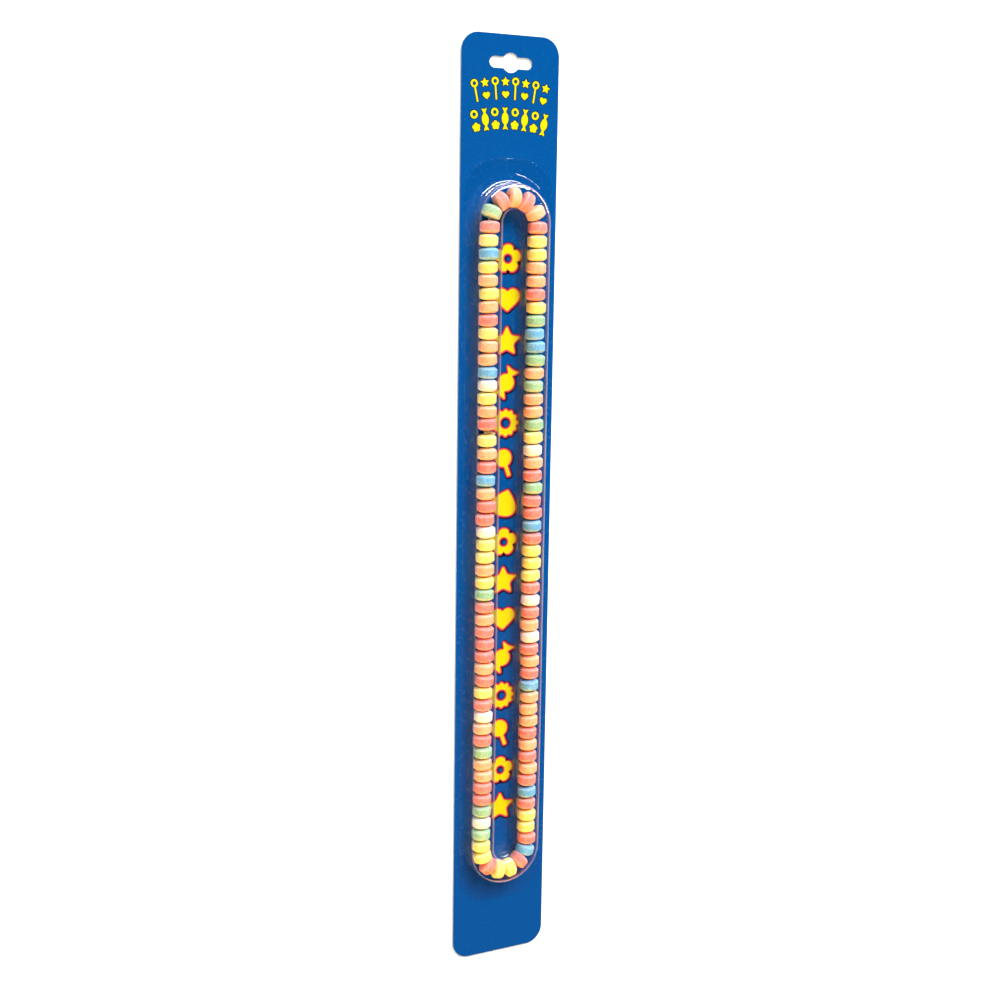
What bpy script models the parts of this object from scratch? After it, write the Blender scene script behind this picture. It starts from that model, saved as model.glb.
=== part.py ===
"""Carded candy necklace: pressed candy beads on elastic, in a clear ring-shaped blister on a hang card.

The pack lies on its back. +X runs across the card, +Y towards its hang hole and +Z out of its face.
Lengths are in metres.
"""

import math
import random

import bmesh
import bpy
import numpy as np

# Card
CARD_WIDTH = 0.0745
CARD_LENGTH = 0.668
CARD_THICKNESS = 0.0008
CARD_CORNER = 0.013

# Hang hole: a slot with round ends and a round notch at its middle
HOLE_WIDTH = 0.032
HOLE_HEIGHT = 0.0075
HOLE_NOTCH = 0.013
HOLE_FROM_TOP = 0.0187

# Loop: two straight columns joined by two half circles, followed by the beads and by the blister's channel
LOOP_RADIUS = 0.0184
LOOP_FROM_TOP = 0.1268
LOOP_STRAIGHT = 0.4537

# Beads
BEAD_DIAMETER = 0.0137
BEAD_THICKNESS = 0.0090
BEAD_WALL = 0.0050
BEAD_FACE = 0.0070
BEAD_HEIGHT = 0.0086
BEAD_SIDES = 12
COLUMN_BEADS = 51
TOP_TURN_BEADS = 5
BOTTOM_TURN_BEADS = 4
BEADS_ABOVE_KNOT = 16
COLUMN_START = 0.0020
COLUMN_END = 0.0055
BEAD_SHIFT = 0.0002
BEAD_TILT = 0.035
BEAD_SPREAD = 0.012
LOOSE_GAP = 0.0005
SEED = 7

# Elastic thread and its knot, which show between two beads
THREAD_DIAMETER = 0.0024
KNOT_GAP = 0.0055
CLOSED_BY = 0.0030
CLOSED_OVER = 6
KNOT_DIAMETER = 0.0050
TAIL_DIAMETER = 0.0014
TAIL_LENGTH = 0.0062
THREAD_SIDES = 10

# Blister
BLISTER_WALL = 0.00045
ROOF_TOP = 0.0164
CROWN_RADIUS = 0.0130
CROWN_END = math.radians(58)
SHOULDER_RADIUS = 0.0037
OUTER_DRAFT = math.radians(7)
INNER_DRAFT = math.radians(6)
FILLET = 0.0018
TURN_BEYOND = 0.0008
FLANGE_WIDTH = 0.0690
FLANGE_CORNER = 0.026
FLANGE_FROM_LOOP = 0.0445
TURN_STEPS = 16
CROWN_STEPS = 6
SHOULDER_STEPS = 3
FILLET_STEPS = 2

CLEARANCE = 0.0003
CORNER_STEPS = 6

HOLE_Y = CARD_LENGTH / 2 - HOLE_FROM_TOP
TOP_TURN_Y = CARD_LENGTH / 2 - LOOP_FROM_TOP
BOTTOM_TURN_Y = TOP_TURN_Y - LOOP_STRAIGHT
TURN_LENGTH = math.pi * LOOP_RADIUS
LOOP_LENGTH = 2 * LOOP_STRAIGHT + 2 * TURN_LENGTH


def clear_scene():
    for obj in list(bpy.data.objects):
        bpy.data.objects.remove(obj, do_unlink=True)


def make_material(name, colour, roughness, alpha=1.0):
    material = bpy.data.materials.new(name)
    material.use_nodes = True
    shader = material.node_tree.nodes["Principled BSDF"]
    shader.inputs["Base Color"].default_value = (*colour, 1.0)
    shader.inputs["Roughness"].default_value = roughness
    shader.inputs["Metallic"].default_value = 0.0
    shader.inputs["Alpha"].default_value = alpha
    return material


def loft(name, rings, material):
    """One closed body from rings of equal length: a skin of quads between them and a face at each end."""
    count = len(rings[0])
    here = np.arange(count)
    after = (here + 1) % count
    faces = []
    for low in range(0, count * (len(rings) - 1), count):
        quads = np.stack([low + here, low + after, low + count + after, low + count + here], axis=1)
        faces.extend(quads.tolist())
    faces.append(here[::-1].tolist())
    faces.append((count * (len(rings) - 1) + here).tolist())
    mesh = bpy.data.meshes.new(name)
    mesh.from_pydata(np.concatenate(rings).tolist(), [], faces)
    body = bmesh.new()
    body.from_mesh(mesh)
    if body.calc_volume(signed=True) < 0:
        bmesh.ops.reverse_faces(body, faces=body.faces)
    body.to_mesh(mesh)
    body.free()
    mesh.set_sharp_from_angle(angle=math.radians(40))
    mesh.materials.append(material)
    obj = bpy.data.objects.new(name, mesh)
    bpy.context.scene.collection.objects.link(obj)
    return obj


def flat_ring(points, z):
    """The plan's outline at height z."""
    points = np.asarray(points)
    return np.column_stack([points, np.full(len(points), z)])


def arc(centre, radius, start, end, steps):
    """Points on an arc between two angles in degrees, both ends included."""
    angle = np.radians(np.linspace(start, end, steps + 1))
    return np.column_stack([centre[0] + radius * np.cos(angle), centre[1] + radius * np.sin(angle)])


# Card


def card_outline():
    x = CARD_WIDTH / 2 - CARD_CORNER
    y = CARD_LENGTH / 2 - CARD_CORNER
    corners = [(x, y, 0), (-x, y, 90), (-x, -y, 180), (x, -y, 270)]
    arcs = [arc((cx, cy), CARD_CORNER, a, a + 90, CORNER_STEPS) for cx, cy, a in corners]
    return np.concatenate(arcs)


def hole_outline():
    """A slot whose long sides swell into arcs of the middle notch."""
    end_radius = HOLE_HEIGHT / 2
    end_x = HOLE_WIDTH / 2 - end_radius
    notch = HOLE_NOTCH / 2
    meet = math.degrees(math.asin(end_radius / notch))
    parts = [
        arc((end_x, HOLE_Y), end_radius, -90, 90, CORNER_STEPS),
        arc((0, HOLE_Y), notch, meet, 180 - meet, CORNER_STEPS),
        arc((-end_x, HOLE_Y), end_radius, 90, 270, CORNER_STEPS),
        arc((0, HOLE_Y), notch, 180 + meet, 360 - meet, CORNER_STEPS),
    ]
    return np.concatenate(parts)


def make_card(material):
    outline = card_outline()
    card = loft("backing_card", [flat_ring(outline, 0), flat_ring(outline, CARD_THICKNESS)], material)
    hole = hole_outline()
    margin = 5 * CARD_THICKNESS
    cutter_rings = [flat_ring(hole, -margin), flat_ring(hole, CARD_THICKNESS + margin)]
    cutter = loft("hang_hole_cutter", cutter_rings, material)
    cutter.hide_render = True
    cutter.display_type = "WIRE"
    cut = card.modifiers.new("hang hole", "BOOLEAN")
    cut.operation = "DIFFERENCE"
    cut.solver = "EXACT"
    cut.object = cutter
    return card


# Blister


def channel_outline(distance):
    """The loop moved outwards by a distance, with its two half circles a little further apart."""
    radius = LOOP_RADIUS + distance
    top = arc((0, TOP_TURN_Y + TURN_BEYOND), radius, 0, 180, TURN_STEPS)
    bottom = arc((0, BOTTOM_TURN_Y - TURN_BEYOND), radius, 180, 360, TURN_STEPS)
    return np.concatenate([top, bottom])


def flange_outline():
    """A rectangle with round corners, with as many points as the loop's outline."""
    angle = np.radians(np.linspace(0, 180, TURN_STEPS + 1))
    side = FLANGE_WIDTH / 2 - FLANGE_CORNER
    x = side * np.sign(np.round(np.cos(angle), 6)) + FLANGE_CORNER * np.cos(angle)
    y = TOP_TURN_Y + FLANGE_FROM_LOOP - FLANGE_CORNER + FLANGE_CORNER * np.sin(angle)
    top = np.column_stack([x, y])
    middle = (TOP_TURN_Y + BOTTOM_TURN_Y) / 2
    bottom = np.column_stack([-x, 2 * middle - y])
    return np.concatenate([top, bottom])


def drafted_side(draft, flange_top):
    """One side of the channel's section, from the fillet's foot to where the shoulder meets the crown.

    The shoulder's arc touches the crown's from inside and turns down to the wall's draft angle. The wall rolls
    into the flange through a fillet.
    """
    end = np.array([math.cos(CROWN_END), math.sin(CROWN_END)])
    centre = (CROWN_RADIUS - SHOULDER_RADIUS) * end + (0, ROOF_TOP - CROWN_RADIUS)
    shoulder = arc(centre, SHOULDER_RADIUS, math.degrees(draft), math.degrees(CROWN_END), SHOULDER_STEPS)
    meet = shoulder[0]
    centre_z = flange_top + FILLET
    wall_end_z = centre_z - FILLET * math.sin(draft)
    wall_end_x = meet[0] + (meet[1] - wall_end_z) * math.tan(draft)
    centre_x = wall_end_x + FILLET * math.cos(draft)
    roll = arc((centre_x, centre_z), FILLET, 270, 180 + math.degrees(draft), FILLET_STEPS)
    return np.vstack([roll, shoulder])


def channel_section():
    """Distance from the loop's line and height of the channel's outer skin, from outside to inside."""
    flange_top = CARD_THICKNESS + CLEARANCE + BLISTER_WALL
    outside = drafted_side(OUTER_DRAFT, flange_top)
    inside = drafted_side(INNER_DRAFT, flange_top)
    inside[:, 0] *= -1
    end = math.degrees(CROWN_END)
    crown = arc((0, ROOF_TOP - CROWN_RADIUS), CROWN_RADIUS, end, 180 - end, CROWN_STEPS)
    return np.vstack([outside[:-1], crown, inside[-2::-1]])


def thickened(section, wall):
    """The section moved inwards by the wall, along the mean of its two neighbouring edges' normals."""
    edge = np.diff(section, axis=0)
    normal = np.column_stack([-edge[:, 1], edge[:, 0]])
    normal /= np.linalg.norm(normal, axis=1)[:, None]
    flat = np.array([[0.0, -1.0]])
    before = np.vstack([flat, normal])
    after = np.vstack([normal, flat])
    mean = before + after
    mean /= np.linalg.norm(mean, axis=1)[:, None]
    reach = wall / np.sum(mean * before, axis=1)
    return section + mean * reach[:, None]


def make_blister(material):
    """A thin sheet: its outer skin from the island's middle to the rim, then its inner skin back again."""
    outer = channel_section()
    inner = thickened(outer, BLISTER_WALL)
    flange_top = CARD_THICKNESS + CLEARANCE + BLISTER_WALL
    flange = flange_outline()
    rings = [flat_ring(channel_outline(distance), z) for distance, z in outer[::-1]]
    rings.append(flat_ring(flange, flange_top))
    rings.append(flat_ring(flange, flange_top - BLISTER_WALL))
    rings += [flat_ring(channel_outline(distance), z) for distance, z in inner]
    return loft("blister", rings, material)


# Beads


def strand_point(distance):
    """Place and heading on the strand's line, from the left column's top, down it and on round the loop."""
    distance = distance % LOOP_LENGTH
    if distance < LOOP_STRAIGHT:
        return np.array([-LOOP_RADIUS, TOP_TURN_Y - distance]), -math.pi / 2
    distance -= LOOP_STRAIGHT
    if distance < TURN_LENGTH:
        angle = math.pi + distance / LOOP_RADIUS
        centre = np.array([0, BOTTOM_TURN_Y])
        return centre + LOOP_RADIUS * np.array([math.cos(angle), math.sin(angle)]), angle + math.pi / 2
    distance -= TURN_LENGTH
    if distance < LOOP_STRAIGHT:
        return np.array([LOOP_RADIUS, BOTTOM_TURN_Y + distance]), math.pi / 2
    angle = (distance - LOOP_STRAIGHT) / LOOP_RADIUS
    centre = np.array([0, TOP_TURN_Y])
    return centre + LOOP_RADIUS * np.array([math.cos(angle), math.sin(angle)]), angle + math.pi / 2


def bead_places():
    """Distances along the strand of the bead centres, in strung order from one side of the knot to the other.

    Each column spreads its beads evenly, and each turn spreads its own over what is left of it. The beads
    below the knot have slid up towards it, each less than the one above it.
    """
    left_top = COLUMN_START
    left_bottom = LOOP_STRAIGHT + COLUMN_END
    right_bottom = LOOP_STRAIGHT + TURN_LENGTH - COLUMN_END
    right_top = 2 * LOOP_STRAIGHT + TURN_LENGTH - COLUMN_START
    pitch = (left_bottom - left_top - KNOT_GAP) / (COLUMN_BEADS - 1)
    above = left_top + pitch * np.arange(BEADS_ABOVE_KNOT)
    below = left_bottom - pitch * np.arange(COLUMN_BEADS - BEADS_ABOVE_KNOT)[::-1]
    below = below - CLOSED_BY * np.exp(-np.arange(len(below)) / CLOSED_OVER)
    bottom = np.linspace(left_bottom, right_bottom, BOTTOM_TURN_BEADS + 2)[1:-1]
    right = np.linspace(right_bottom, right_top, COLUMN_BEADS)
    top = np.linspace(right_top, LOOP_LENGTH + left_top, TOP_TURN_BEADS + 2)[1:-1]
    return np.concatenate([below, bottom, right, top, LOOP_LENGTH + above])


def cross_ring(point, heading, radius, sides, tilt=0.0):
    """A circle across the heading, tilted in plan by a small angle, centred at the beads' height."""
    angle = 2 * math.pi * (np.arange(sides) + 0.5) / sides
    across = np.array([-math.sin(heading + tilt), math.cos(heading + tilt)])
    plan = point + np.outer(radius * np.cos(angle), across)
    return np.column_stack([plan, BEAD_HEIGHT + radius * np.sin(angle)])


def bead_rings(point, heading, radius, tilt):
    """The two edges of a bead's round wall."""
    along = np.array([math.cos(heading + tilt), math.sin(heading + tilt)])
    ends = (-BEAD_WALL / 2, BEAD_WALL / 2)
    return [cross_ring(point + end * along, heading, radius, BEAD_SIDES, tilt) for end in ends]


def joint_rings(place, next_place):
    """Where two beads meet: one ring if their faces touch, or both faces and the thread between them."""
    face = BEAD_FACE / 2
    if next_place - place < BEAD_THICKNESS + LOOSE_GAP:
        point, heading = strand_point((place + next_place) / 2)
        return [cross_ring(point, heading, face, BEAD_SIDES)]
    thread = THREAD_DIAMETER / 2
    rings = []
    for centre, side, radii in ((place, 1, (face, thread)), (next_place, -1, (thread, face))):
        point, heading = strand_point(centre)
        along = np.array([math.cos(heading), math.sin(heading)])
        end = point + side * BEAD_THICKNESS / 2 * along
        rings += [cross_ring(end, heading, radius, BEAD_SIDES) for radius in radii]
    return rings


def make_beads(material):
    """All the beads as one strand, open at the knot."""
    draw = random.Random(SEED)
    places = bead_places()
    half = BEAD_THICKNESS / 2
    face = BEAD_FACE / 2
    first_point, first_heading = strand_point(places[0] - half)
    last_point, last_heading = strand_point(places[-1] + half)
    rings = [cross_ring(first_point, first_heading, face, BEAD_SIDES)]
    for place, next_place in zip(places, np.append(places[1:], np.nan)):
        point, heading = strand_point(place)
        sideways = np.array([-math.sin(heading), math.cos(heading)])
        point = point + draw.uniform(-BEAD_SHIFT, BEAD_SHIFT) * sideways
        radius = BEAD_DIAMETER / 2 * (1 + draw.uniform(-BEAD_SPREAD, BEAD_SPREAD))
        rings += bead_rings(point, heading, radius, draw.uniform(-BEAD_TILT, BEAD_TILT))
        if not math.isnan(next_place):
            rings += joint_rings(place, next_place)
    rings.append(cross_ring(last_point, last_heading, face, BEAD_SIDES))
    return loft("candy_beads", rings, material)


# Elastic


def knot_span():
    """Lowest and highest Y of the gap in the left column that the knot lies in."""
    places = bead_places()
    upper = strand_point(places[-1] + BEAD_THICKNESS / 2)[0][1]
    lower = strand_point(places[0] - BEAD_THICKNESS / 2)[0][1]
    return lower, upper


def make_elastic(material):
    """The thread between the two end beads, swelling into the knot, with the knot's cut tail to one side."""
    lower, upper = knot_span()
    low, high = lower + CLEARANCE, upper - CLEARANCE
    middle = (low + high) / 2
    along = np.linspace(-1, 1, 9)
    swell = np.sqrt(np.clip(1 - (along / 0.8) ** 2, 0, 1))
    radii = THREAD_DIAMETER / 2 + (KNOT_DIAMETER - THREAD_DIAMETER) / 2 * swell
    down = -math.pi / 2
    rings = [
        cross_ring(np.array([-LOOP_RADIUS, middle + t * (high - low) / 2]), down, radius, THREAD_SIDES)
        for t, radius in zip(along, radii)
    ]
    elastic = loft("elastic", rings, material)
    tail_ends = (-LOOP_RADIUS, -LOOP_RADIUS + TAIL_LENGTH)
    tail_rings = [
        cross_ring(np.array([x, middle]), 0.0, TAIL_DIAMETER / 2, THREAD_SIDES) for x in tail_ends
    ]
    tail = loft("elastic_tail", tail_rings, material)
    tail.hide_render = True
    tail.display_type = "WIRE"
    join = elastic.modifiers.new("tail", "BOOLEAN")
    join.operation = "UNION"
    join.solver = "EXACT"
    join.object = tail
    return elastic


def main():
    clear_scene()
    card_blue = make_material("printed_card", (0.012, 0.105, 0.40), 0.35)
    clear_plastic = make_material("clear_plastic", (0.93, 0.96, 1.0), 0.08, alpha=0.2)
    candy = make_material("pressed_candy", (0.95, 0.70, 0.40), 0.75)
    thread = make_material("elastic_thread", (0.72, 0.58, 0.36), 0.55)
    pack = bpy.data.objects.new("pack", None)
    bpy.context.scene.collection.objects.link(pack)
    for piece in (make_card(card_blue), make_blister(clear_plastic), make_beads(candy), make_elastic(thread)):
        piece.parent = pack


main()
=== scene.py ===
# %% [markdown]
# # A carded candy necklace
#
# The object is a hanging pack: a printed card with a hang hole, a clear plastic blister formed
# like a long ring, and inside it a necklace of pressed sugar beads on a knotted elastic. The
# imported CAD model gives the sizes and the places. This script makes the pieces that are seen:
# every bead as a tablet of its own, the thread through them, the thin plastic, and the card with
# its print.
#
# The pack lies on its back. X runs across the card, Y towards the hang hole, Z out of the printed
# face, and all lengths are metres.

import bpy
import numpy as np
from mathutils import Matrix, Vector
from mathutils.geometry import tessellate_polygon


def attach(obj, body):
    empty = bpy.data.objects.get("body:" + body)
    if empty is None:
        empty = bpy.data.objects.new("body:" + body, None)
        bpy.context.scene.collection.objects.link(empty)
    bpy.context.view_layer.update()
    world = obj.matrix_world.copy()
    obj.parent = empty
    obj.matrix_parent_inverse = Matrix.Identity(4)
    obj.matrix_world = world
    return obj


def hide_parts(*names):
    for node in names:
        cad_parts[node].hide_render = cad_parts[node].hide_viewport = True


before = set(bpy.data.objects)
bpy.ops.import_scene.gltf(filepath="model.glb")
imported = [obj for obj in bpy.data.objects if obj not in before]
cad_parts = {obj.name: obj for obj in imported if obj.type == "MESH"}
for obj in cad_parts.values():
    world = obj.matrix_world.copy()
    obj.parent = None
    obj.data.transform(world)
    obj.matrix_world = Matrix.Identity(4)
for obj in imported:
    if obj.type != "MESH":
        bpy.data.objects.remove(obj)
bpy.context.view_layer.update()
print("CAD nodes:", sorted(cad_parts))

# %% [markdown]
# ## The camera
#
# The photograph looks at the card from its left and a little from above its middle. A camera is a
# place, a point that it looks at and a direction that is up in the picture. The three axes of the
# camera are worked out from those, because a typed rotation says little to a reader.

# %% Camera
CAMERA_PLACE = Vector((-0.4414, 0.1892, 0.8951))
CAMERA_AIM = Vector((-0.0030, 0.0133, 0.0))
CAMERA_UP = Vector((0.0633, 0.9847, -0.1625))
LENS = 50.8


def aimed(place, aim, up):
    """The matrix that stands at a place and looks at an aim: -Z forward, Y as near up as can be."""
    forward = (aim - place).normalized()
    right = forward.cross(up).normalized()
    above = right.cross(forward)
    turn = Matrix((right, above, -forward)).transposed()
    return Matrix.Translation(place) @ turn.to_4x4()


camera_data = bpy.data.cameras.new("camera")
camera_data.lens = LENS
camera_data.sensor_width = 36.0
camera_data.clip_start = 0.01
camera_data.clip_end = 100.0
camera = bpy.data.objects.new("camera", camera_data)
camera.matrix_world = aimed(CAMERA_PLACE, CAMERA_AIM, CAMERA_UP)
bpy.context.scene.collection.objects.link(camera)
bpy.context.scene.camera = camera
print("camera to aim:", round((CAMERA_AIM - CAMERA_PLACE).length, 3), "m")

# %% [markdown]
# ## Light
#
# The beads are bright on the side towards the hang hole and on their right, and their shadows
# fall to the lower left, so the main softbox stands over the top of the pack, to the right. A
# second one near the camera fills the front. The card and its print have a key of their own in
# the same place, so that the ink's blue can be set without a change to the beads, and a weak
# broad light over it opens its shadows a little. The floor has a stronger one, which keeps it
# white. The gaps between the beads glow orange in the photograph, for white beads too, so another
# light is orange and stands low on the side away from the key: it reaches the lower bevels and
# little else. None of these is mirrored in gloss, because the photograph's card and plastic stay
# clear of any veil, and for the same reason the world is dim and isn't mirrored. Three panels
# light nothing and show in gloss alone: the white arcs on the plastic are mirror images of a long
# lamp low behind the hang hole and of a narrower one at its right, and a faint violet one lies
# over the lower half of the card.
#
# Lights that are meant for some pieces are linked to them at the end of the script. Where the
# floor ends, the camera sees a pale wall: the world has a second colour for what the camera sees
# of it directly, so it can stay dim as a light. The standard view transform keeps the card's blue
# as strong as the ink is.

# %% Softboxes
scene = bpy.context.scene
scene.view_settings.view_transform = "Standard"
scene.view_settings.look = "None"
WHITE = (1.0, 1.0, 1.0)


def softbox(name, place, aim, width, height, power, mirrored=False, lighting=True, colour=WHITE):
    """A rectangular area light at a place that shines towards an aim."""
    data = bpy.data.lights.new(name, "AREA")
    data.shape = "RECTANGLE"
    data.size = width
    data.size_y = height
    data.energy = power
    data.color = colour
    light = bpy.data.objects.new(name, data)
    light.matrix_world = aimed(Vector(place), Vector(aim), Vector((0, 0, 1)))
    light.visible_camera = False
    light.visible_glossy = mirrored
    light.visible_diffuse = lighting
    scene.collection.objects.link(light)
    return light


def panel(*shape, colour=WHITE):
    """A softbox that lights nothing and shows in gloss alone."""
    return softbox(*shape, mirrored=True, lighting=False, colour=colour)


PACK = (0, 0, 0)
KEY_PLACE = (1.10, 3.60, 3.00)
key_light = softbox("key_light", KEY_PLACE, PACK, 2.2, 1.8, 360.0)
card_key = softbox("card_key", KEY_PLACE, PACK, 2.2, 1.8, 308.0)
FILL_PLACE = (-0.30, 0.10, 2.60)
floor_fill = softbox("floor_fill", FILL_PLACE, PACK, 2.0, 2.0, 35.0)
card_fill = softbox("card_fill", FILL_PLACE, PACK, 2.0, 2.0, 12.0)
FRONT_COLOUR, WARM_COLOUR = (1.0, 0.91, 0.72), (1.0, 0.41, 0.05)
softbox("front_light", (-1.20, -0.90, 2.80), PACK, 1.8, 1.8, 27.0, colour=FRONT_COLOUR)
warm_light = softbox(
    "warm_light", (-0.55, -2.35, 1.55), PACK, 1.4, 1.0, 168.0, colour=WARM_COLOUR
)
strip_light = panel("strip_light", (0.25, 2.15, 0.62), (0, 0.2, 0.2), 3.1, 1.10, 440.0)
end_light = panel("end_light", (3.20, 2.15, 0.30), (0, 0.2, 0), 2.8, 0.46, 110.0)
LOW_COLOUR = (1.0, 0.12, 0.45)
low_panel = panel("low_panel", (0.70, -1.50, 1.70), PACK, 1.5, 1.7, 0.9, colour=LOW_COLOUR)

# %% [markdown]
# ## Tools for meshes and materials
#
# Each shape below is worked out as an array of points. Two small helpers turn such arrays into
# objects: one joins a grid of points with quads, the other makes the mesh. A third adds a node to
# a material, with its inputs given as values or as sockets to link.

# %% Mesh helpers


def grid_quads(rows, columns, close_rows=False, close_columns=False):
    """Quads over a grid of points: each joins two neighbours in a row and two in the next row."""
    row = np.arange(rows if close_rows else rows - 1)[:, None]
    column = np.arange(columns if close_columns else columns - 1)[None, :]
    next_row, next_column = (row + 1) % rows, (column + 1) % columns
    corners = [row * columns + column, row * columns + next_column]
    corners += [next_row * columns + next_column, next_row * columns + column]
    return np.stack(np.broadcast_arrays(*corners), axis=-1).reshape(-1, 4)


def signed_volume(points, faces):
    """Six times the volume under the faces: triple products over each face's fan of triangles."""
    total = 0.0
    for size in {len(face) for face in faces}:
        corner = points[np.array([face for face in faces if len(face) == size])]
        for k in range(1, size - 1):
            total += np.einsum("ij,ij->", corner[:, 0], np.cross(corner[:, k], corner[:, k + 1]))
    return total


def make_piece(name, points, faces, materials, face_material=None, sharp=40.0):
    """An object from points and faces, turned outwards if its volume comes out negative."""
    points = np.asarray(points, dtype=float).reshape(-1, 3)
    faces = [list(map(int, face)) for face in faces]
    if signed_volume(points, faces) < 0:
        faces = [face[::-1] for face in faces]
    mesh = bpy.data.meshes.new(name)
    mesh.from_pydata(points.tolist(), [], faces)
    for material in materials:
        mesh.materials.append(material)
    if face_material is not None:
        mesh.polygons.foreach_set("material_index", np.asarray(face_material, dtype=np.int32))
    mesh.shade_smooth()
    mesh.set_sharp_from_angle(angle=np.radians(sharp))
    piece = bpy.data.objects.new(name, mesh)
    scene.collection.objects.link(piece)
    print(f"{name}: {len(points)} points, {len(faces)} faces")
    return piece


def settle(piece, slot, *nodes):
    """The piece rides on the pack and stands for the nodes that it hides; its slot is not used."""
    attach(piece, "root")
    if nodes:
        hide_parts(*nodes)
    return piece


def add_values(piece, name, values):
    """A number for each point of the piece, which its material can read by name."""
    attribute = piece.data.attributes.new(name, "FLOAT", "POINT")
    attribute.data.foreach_set("value", np.asarray(values, dtype=np.float32).ravel())


def add_places(piece, name, places):
    """Three numbers for each point of the piece: a place for a pattern that follows the surface."""
    attribute = piece.data.attributes.new(name, "FLOAT_VECTOR", "POINT")
    attribute.data.foreach_set("vector", np.asarray(places, dtype=np.float32).ravel())


# %% Material helpers


def linear(red, green, blue):
    """A screen's colour, 0 to 255, as the linear light that a shader takes, and full alpha."""
    value = np.array([red, green, blue]) / 255
    light = np.where(value <= 0.04045, value / 12.92, ((value + 0.055) / 1.055) ** 2.4)
    return (*light.tolist(), 1.0)


def new_material(name):
    """A material, its node tree and its Principled shader."""
    material = bpy.data.materials.new(name)
    material.use_nodes = True
    return material, material.node_tree, material.node_tree.nodes["Principled BSDF"]


def set_inputs(tree, node, inputs):
    """The node's inputs, by name or number: a value is set, and a socket is linked."""
    for key, value in inputs.items():
        if isinstance(value, bpy.types.NodeSocket):
            tree.links.new(value, node.inputs[key])
        else:
            node.inputs[key].default_value = value


def add_node(tree, kind, inputs=None, **settings):
    """A node with its settings and its inputs."""
    node = tree.nodes.new("ShaderNode" + kind)
    for key, value in settings.items():
        setattr(node, key, value)
    set_inputs(tree, node, inputs or {})
    return node


def place_of(tree):
    """The point's place on the piece, in metres."""
    return add_node(tree, "TexCoord").outputs["Object"]


def stretched(tree, where, *scale):
    """A place with its numbers scaled: a pattern on it is drawn out along the smallest of them."""
    return add_node(tree, "Mapping", {"Vector": where, "Scale": scale}).outputs["Vector"]


def noise(tree, where, per_metre, detail=3.0, roughness=0.55):
    """Soft noise with so many features to the metre, around 0.5."""
    inputs = {"Vector": where, "Scale": per_metre, "Detail": detail, "Roughness": roughness}
    return add_node(tree, "TexNoise", inputs).outputs["Fac"]


def remap(tree, value, low, high, new_low=0.0, new_high=1.0):
    """A value from low to high, stretched to from new_low to new_high and kept inside them."""
    inputs = {"Value": value, "From Min": low, "From Max": high}
    inputs |= {"To Min": new_low, "To Max": new_high}
    return add_node(tree, "MapRange", inputs).outputs["Result"]


def calculate(tree, operation, first, second=0.0):
    """One sum, product or other operation on two numbers."""
    return add_node(tree, "Math", {0: first, 1: second}, operation=operation).outputs[0]


def times(tree, first, second):
    """The product of two numbers."""
    return calculate(tree, "MULTIPLY", first, second)


def blend(tree, share, first, second):
    """A colour between two, by a share from 0 to 1. The Mix node's colours are inputs 6 and 7."""
    inputs = {"Factor": share, 6: first, 7: second}
    return add_node(tree, "Mix", inputs, data_type="RGBA").outputs[2]


def attribute(tree, name, output="Fac"):
    """The number from add_values, or with output Vector the place from add_places."""
    return add_node(tree, "Attribute", attribute_name=name).outputs[output]


def bumped(tree, height, depth, **under):
    """The direction of a surface raised by height, 0 to 1, times a depth in metres."""
    inputs = {"Height": height, "Strength": 1.0, "Distance": depth, **under}
    return add_node(tree, "Bump", inputs).outputs["Normal"]


# %% The world: dim as a light, and a pale wall where the camera sees it
ROOM_COLOUR, ROOM_STRENGTH = (1.0, 0.85, 0.54, 1.0), 0.12
WALL_COLOUR = (0.86, 0.85, 0.83, 1.0)

world = bpy.data.worlds.new("studio")
world.use_nodes = True
world.cycles_visibility.glossy = False
tree = world.node_tree
room = tree.nodes["Background"]
set_inputs(tree, room, {"Color": ROOM_COLOUR, "Strength": ROOM_STRENGTH})
wall = add_node(tree, "Background", {"Color": WALL_COLOUR})
seen = add_node(tree, "LightPath").outputs["Is Camera Ray"]
either = add_node(tree, "MixShader", {0: seen, 1: room.outputs[0], 2: wall.outputs[0]})
set_inputs(tree, tree.nodes["World Output"], {"Surface": either.outputs[0]})
scene.world = world

# %% [markdown]
# ## Sizes
#
# These are the sizes of the CAD model, so that the pieces drawn here fill the solids that they
# stand for.

# %% Sizes of the pack
CARD_WIDTH, CARD_LENGTH, CARD_THICKNESS, CARD_CORNER = 0.0745, 0.668, 0.0008, 0.013
HOLE_WIDTH, HOLE_HEIGHT, HOLE_NOTCH, HOLE_FROM_TOP = 0.032, 0.0075, 0.013, 0.0187
LOOP_RADIUS, LOOP_FROM_TOP, LOOP_STRAIGHT = 0.0184, 0.1268, 0.4537
BEAD_DIAMETER, BEAD_THICKNESS, BEAD_HEIGHT = 0.0137, 0.0090, 0.0086
COLUMN_BEADS, TOP_TURN_BEADS, BOTTOM_TURN_BEADS, BEADS_ABOVE_KNOT = 51, 5, 4, 16
COLUMN_START, COLUMN_END = 0.0020, 0.0055
KNOT_GAP, CLOSED_BY, CLOSED_OVER = 0.0055, 0.0030, 6
BLISTER_WALL, ROOF_TOP, CROWN_RADIUS, CROWN_END = 0.00045, 0.0164, 0.0130, np.radians(58)
SHOULDER_RADIUS, FILLET, OUTER_DRAFT, INNER_DRAFT = 0.0037, 0.0018, np.radians(7), np.radians(6)
TURN_BEYOND = 0.0008
FLANGE_WIDTH, FLANGE_CORNER, FLANGE_FROM_LOOP = 0.0690, 0.026, 0.0445
CLEARANCE = 0.0003

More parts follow.
